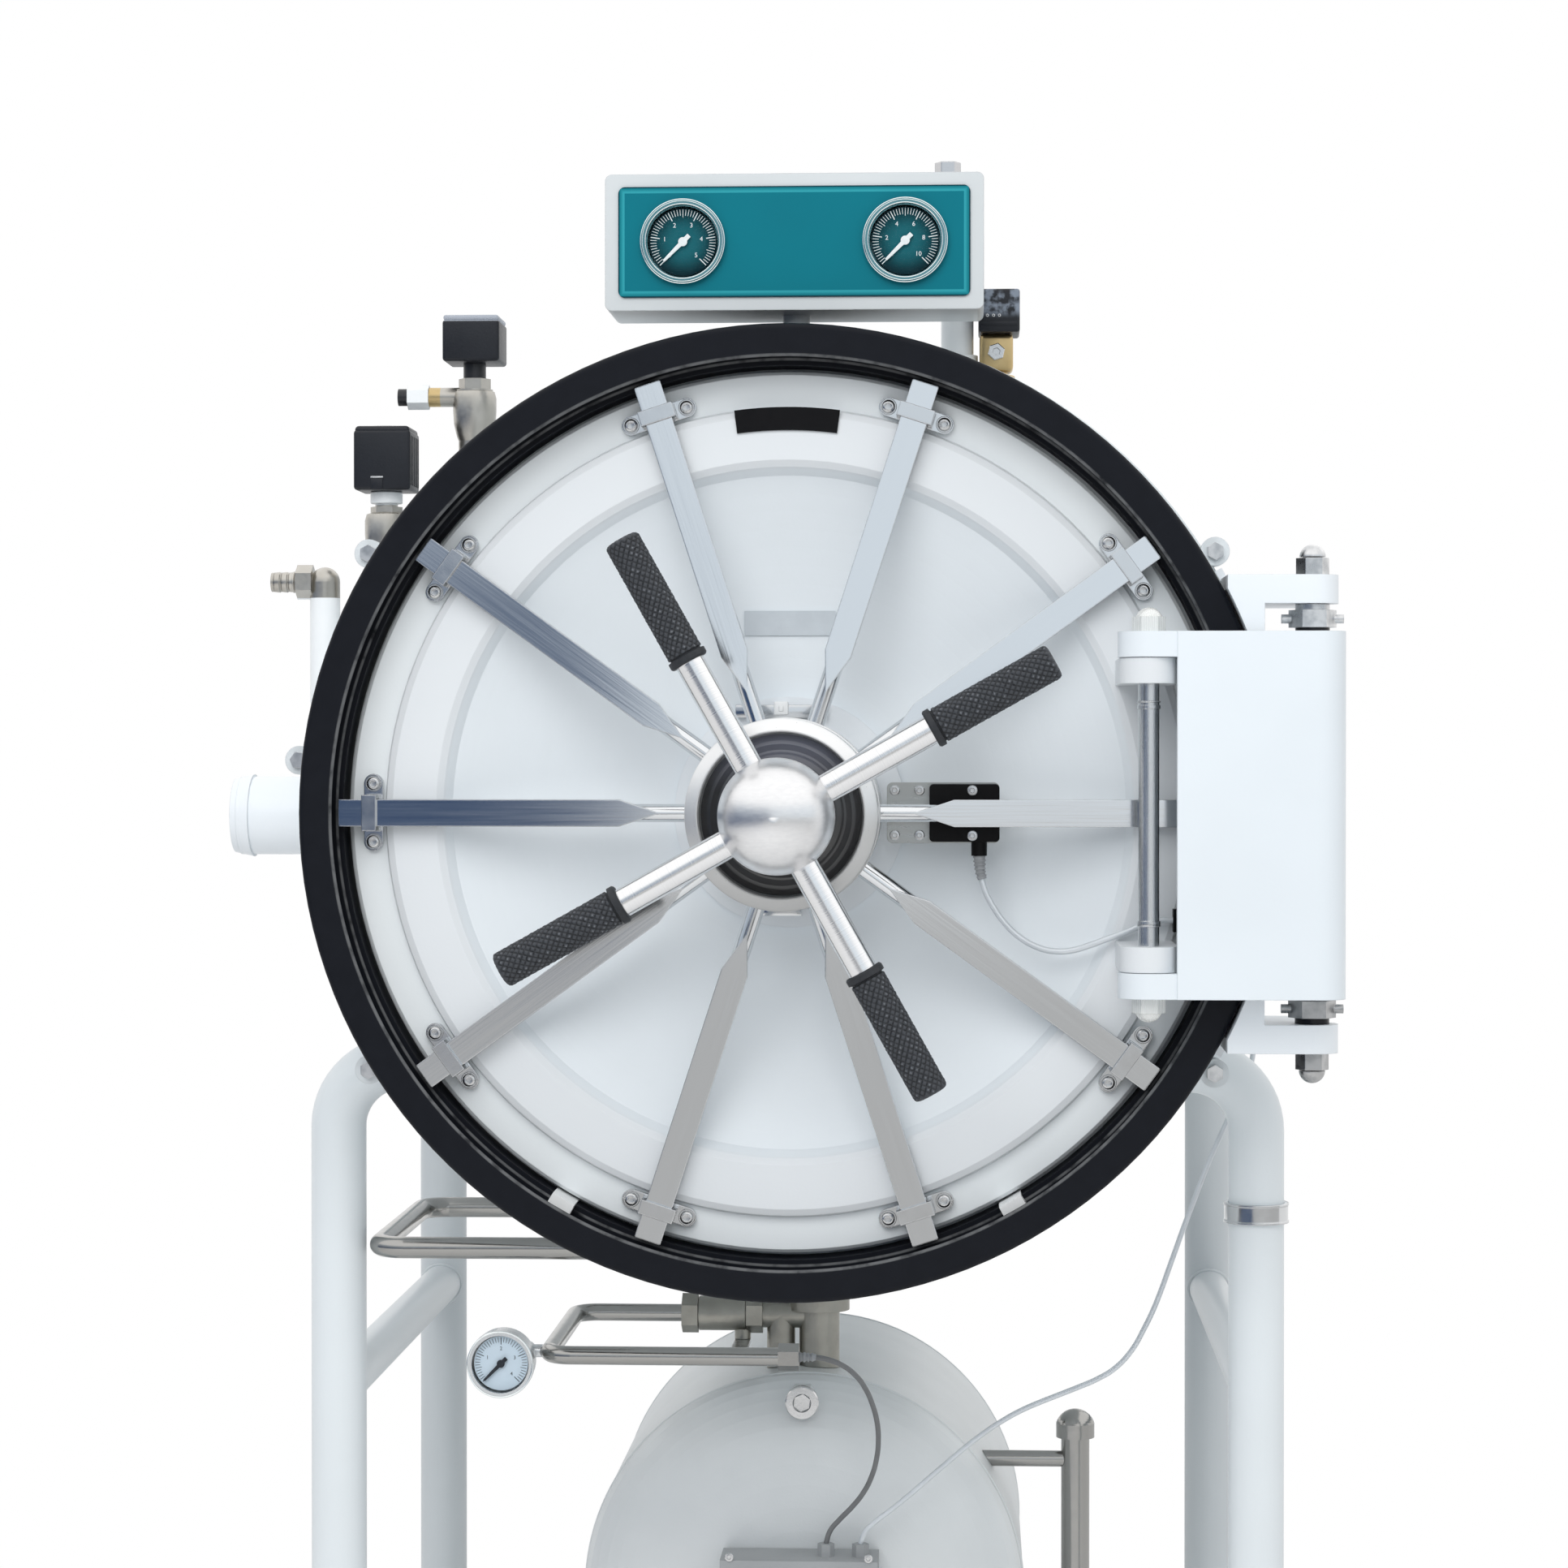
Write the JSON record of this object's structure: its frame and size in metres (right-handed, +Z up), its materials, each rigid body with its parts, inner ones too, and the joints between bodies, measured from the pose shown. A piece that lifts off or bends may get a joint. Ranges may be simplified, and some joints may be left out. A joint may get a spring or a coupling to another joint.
{
  "type": "horizontal autoclave",
  "caption": "Horizontal steam autoclave: round hinged door with radial locking bars and handwheel, gauge panel, tubular stand and steam generator below.",
  "frame": {"origin": "on the floor, at the centre of the four outer anchor holes", "axes": "+Z up, +X to the right of a person facing the door, the door faces -Y"},
  "size_m": [1.0325, 1.4045, 1.7265],
  "materials": {
    "stainless": "satin",
    "mild_steel": "matte",
    "mineral_wool": "matte",
    "white_paint": "satin powder coat",
    "black_paint": "satin powder coat",
    "silver_paint": "satin",
    "silicone": "matte",
    "white_plastic": "matte",
    "plated_steel": "zinc plate",
    "plated_bar": "bright plated flats",
    "satin_sheet": "satin sheet",
    "heater_metal": "heat tinted",
    "grey_plastic": "matte",
    "cast_stainless": "blasted",
    "nickel_brass": "nickel plated",
    "black_plastic": "fine grain",
    "teal_panel": "gloss",
    "polished_steel": "polished",
    "dial": "matte print",
    "clear_glass": "clear",
    "white_enamel": "matte",
    "black_enamel": "matte",
    "brushed_steel": "fine brushed",
    "grip_rubber": "diamond grain",
    "bronze": "machined",
    "cable_jacket": "satin"
  },
  "bodies": {
    "root": {"chamber_shell": "stainless", "jacket_shell": "mild_steel", "insulation": "mineral_wool", "outer_casing": "white_paint", "rear_cover": "white_paint", "end_flange": "white_paint", "locking_ring": "black_paint", "door_gasket": "silicone", "door_rest_pads": "white_plastic", "tray_rails": "stainless", "hinge_bracket": "white_paint", "main_pivot": "plated_steel", "legs": "white_paint", "frame_rails": "white_paint", "flange_bolts": "plated_steel", "generator_shell": "stainless", "generator_cover": "satin_sheet", "heater_tubes": "heater_metal", "terminal_box": "grey_plastic", "level_column": "stainless", "drain_body": "cast_stainless", "steam_pipes": "stainless", "side_port": "white_paint", "valve_bodies": "nickel_brass", "valve_coils": "black_plastic", "panel_box": "white_paint", "panel_face": "teal_panel", "gauge_cases": "polished_steel", "gauge_dials": "dial", "gauge_glasses": "clear_glass", "generator_cables": "cable_jacket"},
    "swing_arm": {"swing_arm": "white_paint", "door_shaft": "polished_steel"},
    "door": {"door_plate": "white_paint", "hub_housing": "silver_paint", "bar_guides": "cast_stainless", "guide_screws": "plated_steel", "blank_plates": "black_plastic", "sensor_bracket": "stainless", "sensor_block": "black_plastic", "sensor_cable": "cable_jacket"},
    "wheel": {"spindle": "plated_steel", "wheel_spokes": "brushed_steel", "wheel_grips": "grip_rubber", "cam_disc": "bronze", "wheel_dish": "black_plastic"},
    "left_pointer": {"left_pointer": "white_enamel"},
    "right_pointer": {"right_pointer": "white_enamel"},
    "drain_pointer": {"drain_pointer": "black_enamel"},
    "drain_lever": {"drain_lever": "plated_steel"},
    "bar_01": {"bar_01": "plated_bar"},
    "bar_02": {"bar_02": "plated_bar"},
    "bar_03": {"bar_03": "plated_bar"},
    "bar_04": {"bar_04": "plated_bar"},
    "bar_05": {"bar_05": "plated_bar"},
    "bar_06": {"bar_06": "plated_bar"},
    "bar_07": {"bar_07": "plated_bar"},
    "bar_08": {"bar_08": "plated_bar"},
    "bar_09": {"bar_09": "plated_bar"},
    "bar_10": {"bar_10": "plated_bar"}
  },
  "joints": [
    {"name": "door_arm_swing", "type": "hinge", "parent": "root", "child": "swing_arm", "pos_m": [0.46, -0.51, 1.15], "axis": [0, 0, 1], "range_deg": [0, 110]},
    {"name": "door_align", "type": "hinge", "parent": "swing_arm", "child": "door", "pos_m": [0.315, -0.57, 1.15], "axis": [0, 0, 1], "range_deg": [0, 1]},
    {"name": "wheel_turn", "type": "hinge", "parent": "door", "child": "wheel", "pos_m": [0, -0.52, 1.15], "axis": [0, 1, 0], "range_deg": [0, 60]},
    {"name": "bar_01_slide", "type": "slide", "parent": "door", "child": "bar_01", "axis": [1, 0, 0], "range_m": [0, 0.018]},
    {"name": "bar_02_slide", "type": "slide", "parent": "door", "child": "bar_02", "axis": [0.809, 0, 0.5878], "range_m": [0, 0.018]},
    {"name": "bar_03_slide", "type": "slide", "parent": "door", "child": "bar_03", "axis": [0.309, 0, 0.9511], "range_m": [0, 0.018]},
    {"name": "bar_04_slide", "type": "slide", "parent": "door", "child": "bar_04", "axis": [-0.309, 0, 0.9511], "range_m": [0, 0.018]},
    {"name": "bar_05_slide", "type": "slide", "parent": "door", "child": "bar_05", "axis": [-0.809, 0, 0.5878], "range_m": [0, 0.018]},
    {"name": "bar_06_slide", "type": "slide", "parent": "door", "child": "bar_06", "axis": [-1, 0, 0], "range_m": [0, 0.018]},
    {"name": "bar_07_slide", "type": "slide", "parent": "door", "child": "bar_07", "axis": [-0.809, 0, -0.5878], "range_m": [0, 0.018]},
    {"name": "bar_08_slide", "type": "slide", "parent": "door", "child": "bar_08", "axis": [-0.309, 0, -0.9511], "range_m": [0, 0.018]},
    {"name": "bar_09_slide", "type": "slide", "parent": "door", "child": "bar_09", "axis": [0.309, 0, -0.9511], "range_m": [0, 0.018]},
    {"name": "bar_10_slide", "type": "slide", "parent": "door", "child": "bar_10", "axis": [0.809, 0, -0.5878], "range_m": [0, 0.018]},
    {"name": "left_pointer_turn", "type": "hinge", "parent": "root", "child": "left_pointer", "pos_m": [-0.0925, -0.484, 1.656], "axis": [0, 1, 0], "range_deg": [0, 270], "stiffness_Nm_per_rad": 0.002, "springref_deg": -11.46},
    {"name": "right_pointer_turn", "type": "hinge", "parent": "root", "child": "right_pointer", "pos_m": [0.1045, -0.484, 1.656], "axis": [0, 1, 0], "range_deg": [0, 270], "stiffness_Nm_per_rad": 0.002, "springref_deg": -11.46},
    {"name": "drain_pointer_turn", "type": "hinge", "parent": "root", "child": "drain_pointer", "pos_m": [-0.27, -0.369, 0.64], "axis": [0, 1, 0], "range_deg": [0, 270], "stiffness_Nm_per_rad": 0.002, "springref_deg": -11.46},
    {"name": "drain_lever_turn", "type": "hinge", "parent": "root", "child": "drain_lever", "pos_m": [-0.063, -0.098, 0.619], "axis": [0, 0, 1], "range_deg": [-90, 0]}
  ],
  "couplings": [
    {"joint": "bar_01_slide", "follows": "wheel_turn", "m_per_rad": 0.017189},
    {"joint": "bar_02_slide", "follows": "wheel_turn", "m_per_rad": 0.017189},
    {"joint": "bar_03_slide", "follows": "wheel_turn", "m_per_rad": 0.017189},
    {"joint": "bar_04_slide", "follows": "wheel_turn", "m_per_rad": 0.017189},
    {"joint": "bar_05_slide", "follows": "wheel_turn", "m_per_rad": 0.017189},
    {"joint": "bar_06_slide", "follows": "wheel_turn", "m_per_rad": 0.017189},
    {"joint": "bar_07_slide", "follows": "wheel_turn", "m_per_rad": 0.017189},
    {"joint": "bar_08_slide", "follows": "wheel_turn", "m_per_rad": 0.017189},
    {"joint": "bar_09_slide", "follows": "wheel_turn", "m_per_rad": 0.017189},
    {"joint": "bar_10_slide", "follows": "wheel_turn", "m_per_rad": 0.017189}
  ]
}
